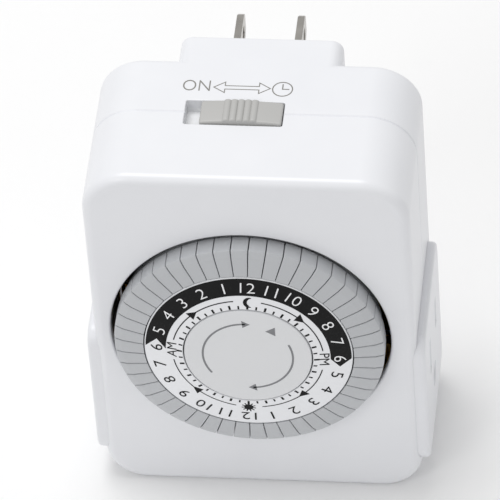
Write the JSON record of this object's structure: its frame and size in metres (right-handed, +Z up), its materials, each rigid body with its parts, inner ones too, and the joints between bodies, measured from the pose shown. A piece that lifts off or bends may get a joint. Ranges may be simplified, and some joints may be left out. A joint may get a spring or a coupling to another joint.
{
  "type": "plug-in mechanical timer",
  "caption": "Plug-in mechanical timer: white box with a rotating tripper dial on the front, a slider on top, wall-plug blades behind and a grounded outlet on each side.",
  "frame": {"origin": "centre of the flat base, level with the surface it stands on", "axes": "+Z up, -Y out of the dial's face, +Y along the plug's blades into the wall, +X to the right as the dial is seen"},
  "size_m": [0.0702, 0.0672, 0.0902],
  "materials": {
    "shell_plastic": "satin",
    "outlet_plastic": "satin",
    "dial_print": "printed",
    "tripper_plastic": "satin",
    "slider_plastic": "satin",
    "nickel": "nickel plated",
    "zinc_steel": "zinc plated",
    "label_foil": "matt foil",
    "brass_strip": "stamped",
    "tinned_strip": "tin plated",
    "inner_plastic": "moulded",
    "motor_can": "zinc plated",
    "copper_coil": "taped winding",
    "lead_sleeve": "matt"
  },
  "bodies": {
    "housing": {"front_cover": "shell_plastic", "rear_housing": "shell_plastic", "outlet_plate_right": "outlet_plastic", "outlet_plate_left": "outlet_plastic", "housing_screws": "zinc_steel", "rating_label": "label_foil", "neutral_blade": "nickel", "line_blade": "nickel", "ground_pin": "nickel", "neutral_bus": "brass_strip", "line_feed_bus": "brass_strip", "line_load_bus": "brass_strip", "ground_bus": "tinned_strip", "neutral_clips": "brass_strip", "line_clips": "brass_strip", "ground_clips": "tinned_strip", "movement_plate": "inner_plastic", "movement_screws": "zinc_steel", "motor_case": "motor_can", "motor_coil": "copper_coil", "motor_leads": "lead_sleeve", "gear_arbor": "zinc_steel", "lever_pivot": "zinc_steel", "fixed_contact": "tinned_strip", "slider_guide": "shell_plastic", "detent_spring": "brass_strip", "centre_disc": "shell_plastic", "dial_clip": "zinc_steel"},
    "dial": {"dial_carrier": "inner_plastic", "hour_ring": "dial_print"},
    "reduction": {"reduction_gear": "inner_plastic"},
    "pinion": {"motor_pinion": "zinc_steel"},
    "slider": {"override_slider": "slider_plastic"},
    "lever": {"switch_lever": "inner_plastic"},
    "leaf": {"contact_leaf": "brass_strip", "moving_contact": "tinned_strip"},
    "trippers_1": {"trippers_1": "tripper_plastic"},
    "trippers_2": {"trippers_2": "tripper_plastic"},
    "trippers_3": {"trippers_3": "tripper_plastic"},
    "trippers_4": {"trippers_4": "tripper_plastic"},
    "trippers_5": {"trippers_5": "tripper_plastic"},
    "trippers_6": {"trippers_6": "tripper_plastic"},
    "trippers_7": {"trippers_7": "tripper_plastic"},
    "trippers_8": {"trippers_8": "tripper_plastic"},
    "trippers_9": {"trippers_9": "tripper_plastic"},
    "trippers_10": {"trippers_10": "tripper_plastic"},
    "trippers_11": {"trippers_11": "tripper_plastic"},
    "trippers_12": {"trippers_12": "tripper_plastic"},
    "trippers_13": {"trippers_13": "tripper_plastic"},
    "trippers_14": {"trippers_14": "tripper_plastic"},
    "trippers_15": {"trippers_15": "tripper_plastic"},
    "trippers_16": {"trippers_16": "tripper_plastic"},
    "trippers_17": {"trippers_17": "tripper_plastic"},
    "trippers_18": {"trippers_18": "tripper_plastic"},
    "trippers_19": {"trippers_19": "tripper_plastic"},
    "trippers_20": {"trippers_20": "tripper_plastic"},
    "trippers_21": {"trippers_21": "tripper_plastic"},
    "trippers_22": {"trippers_22": "tripper_plastic"},
    "trippers_23": {"trippers_23": "tripper_plastic"},
    "trippers_24": {"trippers_24": "tripper_plastic"}
  },
  "joints": [
    {"name": "dial_spin", "type": "hinge", "parent": "housing", "child": "dial", "pos_m": [-0.0007, -0.0178, 0.0447], "axis": [0, 1, 0], "continuous": true},
    {"name": "gear_spin", "type": "hinge", "parent": "housing", "child": "reduction", "pos_m": [-0.0007, -0.0108, 0.0597], "axis": [0, 1, 0], "continuous": true},
    {"name": "pinion_spin", "type": "hinge", "parent": "housing", "child": "pinion", "pos_m": [-0.0007, -0.0078, 0.0447], "axis": [0, 1, 0], "continuous": true},
    {"name": "override_slide", "type": "slide", "parent": "housing", "child": "slider", "axis": [-1, 0, 0], "range_m": [0, 0.0031]},
    {"name": "lever_turn", "type": "hinge", "parent": "housing", "child": "lever", "pos_m": [-0.0136, -0.0048, 0.0661], "axis": [0, -1, 0], "range_deg": [0, 10.57]},
    {"name": "leaf_bend", "type": "hinge", "parent": "housing", "child": "leaf", "pos_m": [-0.0168, -0.0038, 0.0631], "axis": [0, -1, 0], "range_deg": [0, 8.46]},
    {"name": "trippers_1_push", "type": "slide", "parent": "dial", "child": "trippers_1", "axis": [0, 1, 0], "range_m": [0, 0.0025]},
    {"name": "trippers_2_push", "type": "slide", "parent": "dial", "child": "trippers_2", "axis": [0, 1, 0], "range_m": [0, 0.0025]},
    {"name": "trippers_3_push", "type": "slide", "parent": "dial", "child": "trippers_3", "axis": [0, 1, 0], "range_m": [0, 0.0025]},
    {"name": "trippers_4_push", "type": "slide", "parent": "dial", "child": "trippers_4", "axis": [0, 1, 0], "range_m": [0, 0.0025]},
    {"name": "trippers_5_push", "type": "slide", "parent": "dial", "child": "trippers_5", "axis": [0, 1, 0], "range_m": [0, 0.0025]},
    {"name": "trippers_6_push", "type": "slide", "parent": "dial", "child": "trippers_6", "axis": [0, 1, 0], "range_m": [0, 0.0025]},
    {"name": "trippers_7_push", "type": "slide", "parent": "dial", "child": "trippers_7", "axis": [0, 1, 0], "range_m": [0, 0.0025]},
    {"name": "trippers_8_push", "type": "slide", "parent": "dial", "child": "trippers_8", "axis": [0, 1, 0], "range_m": [0, 0.0025]},
    {"name": "trippers_9_push", "type": "slide", "parent": "dial", "child": "trippers_9", "axis": [0, 1, 0], "range_m": [0, 0.0025]},
    {"name": "trippers_10_push", "type": "slide", "parent": "dial", "child": "trippers_10", "axis": [0, 1, 0], "range_m": [0, 0.0025]},
    {"name": "trippers_11_push", "type": "slide", "parent": "dial", "child": "trippers_11", "axis": [0, 1, 0], "range_m": [0, 0.0025]},
    {"name": "trippers_12_push", "type": "slide", "parent": "dial", "child": "trippers_12", "axis": [0, 1, 0], "range_m": [0, 0.0025]},
    {"name": "trippers_13_push", "type": "slide", "parent": "dial", "child": "trippers_13", "axis": [0, 1, 0], "range_m": [0, 0.0025]},
    {"name": "trippers_14_push", "type": "slide", "parent": "dial", "child": "trippers_14", "axis": [0, 1, 0], "range_m": [0, 0.0025]},
    {"name": "trippers_15_push", "type": "slide", "parent": "dial", "child": "trippers_15", "axis": [0, 1, 0], "range_m": [0, 0.0025]},
    {"name": "trippers_16_push", "type": "slide", "parent": "dial", "child": "trippers_16", "axis": [0, 1, 0], "range_m": [0, 0.0025]},
    {"name": "trippers_17_push", "type": "slide", "parent": "dial", "child": "trippers_17", "axis": [0, 1, 0], "range_m": [0, 0.0025]},
    {"name": "trippers_18_push", "type": "slide", "parent": "dial", "child": "trippers_18", "axis": [0, 1, 0], "range_m": [0, 0.0025]},
    {"name": "trippers_19_push", "type": "slide", "parent": "dial", "child": "trippers_19", "axis": [0, 1, 0], "range_m": [0, 0.0025]},
    {"name": "trippers_20_push", "type": "slide", "parent": "dial", "child": "trippers_20", "axis": [0, 1, 0], "range_m": [0, 0.0025]},
    {"name": "trippers_21_push", "type": "slide", "parent": "dial", "child": "trippers_21", "axis": [0, 1, 0], "range_m": [0, 0.0025]},
    {"name": "trippers_22_push", "type": "slide", "parent": "dial", "child": "trippers_22", "axis": [0, 1, 0], "range_m": [0, 0.0025]},
    {"name": "trippers_23_push", "type": "slide", "parent": "dial", "child": "trippers_23", "axis": [0, 1, 0], "range_m": [0, 0.0025]},
    {"name": "trippers_24_push", "type": "slide", "parent": "dial", "child": "trippers_24", "axis": [0, 1, 0], "range_m": [0, 0.0025]}
  ],
  "couplings": [
    {"joint": "gear_spin", "follows": "dial_spin", "ratio": 6},
    {"joint": "pinion_spin", "follows": "dial_spin", "ratio": -24},
    {"joint": "lever_turn", "follows": "override_slide", "rad_per_m": 59.518},
    {"joint": "leaf_bend", "follows": "override_slide", "rad_per_m": 47.614}
  ]
}
